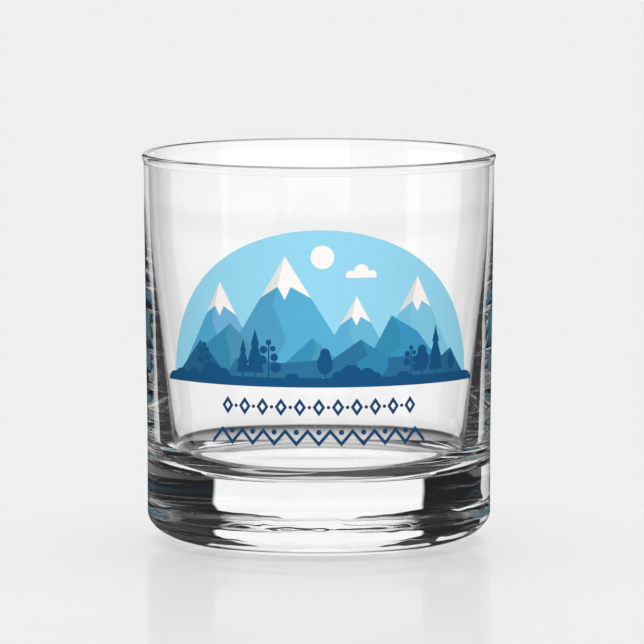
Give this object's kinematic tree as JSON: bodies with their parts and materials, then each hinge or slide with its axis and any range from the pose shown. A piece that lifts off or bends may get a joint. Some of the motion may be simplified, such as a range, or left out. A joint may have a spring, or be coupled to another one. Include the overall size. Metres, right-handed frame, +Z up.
{
  "type": "rocks glass",
  "caption": "Clear heavy-base rocks glass with a rolled rim, a rounded bowl and a blue mountain landscape printed on the front.",
  "frame": {"origin": "centre of the foot, on the surface that the glass stands on", "axes": "+Z up along the axis of the glass; the printed picture faces -Y; +X is to the picture's right"},
  "size_m": [0.0826, 0.0826, 0.0909],
  "materials": {
    "glass": "clear, fire-polished",
    "ink_navy": "fused ink, satin",
    "ink_deep_blue": "fused ink, satin",
    "ink_teal_blue": "fused ink, satin",
    "ink_mid_blue": "fused ink, satin",
    "ink_rock_blue": "fused ink, satin",
    "ink_haze_blue": "fused ink, satin",
    "ink_sky": "fused ink, satin",
    "ink_white": "fused ink, satin",
    "ink_snow_shade": "fused ink, satin"
  },
  "bodies": {
    "root": {"print_berry_trees": "ink_navy", "print_bushes": "ink_navy", "print_centre_hill": "ink_mid_blue", "print_centre_hill_shade": "ink_mid_blue", "print_cloud": "ink_white", "print_diamond_row": "ink_navy", "print_far_left_peak": "ink_rock_blue", "print_far_left_peak_shade": "ink_rock_blue", "print_far_left_peak_snow": "ink_white", "print_far_left_peak_snow_shade": "ink_snow_shade", "print_far_right_peak": "ink_haze_blue", "print_far_right_peak_shade": "ink_haze_blue", "print_far_right_peak_snow": "ink_white", "print_far_right_peak_snow_shade": "ink_snow_shade", "print_ground": "ink_navy", "print_left_foothill": "ink_deep_blue", "print_left_hill": "ink_mid_blue", "print_left_hill_shade": "ink_mid_blue", "print_main_peak": "ink_rock_blue", "print_main_peak_shade": "ink_rock_blue", "print_main_peak_snow": "ink_white", "print_main_peak_snow_shade": "ink_snow_shade", "print_meadow": "ink_teal_blue", "print_middle_peak": "ink_rock_blue", "print_middle_peak_shade": "ink_rock_blue", "print_middle_peak_snow": "ink_white", "print_middle_peak_snow_shade": "ink_snow_shade", "print_near_hill": "ink_teal_blue", "print_near_hill_shade": "ink_teal_blue", "print_pines": "ink_navy", "print_right_foothill": "ink_deep_blue", "print_right_hill": "ink_mid_blue", "print_right_hill_shade": "ink_mid_blue", "print_round_trees": "ink_navy", "print_sky": "ink_sky", "print_sun": "ink_white", "print_terrace": "ink_deep_blue", "print_zigzag_row": "ink_navy", "tumbler": "glass"}
  },
  "joints": []
}
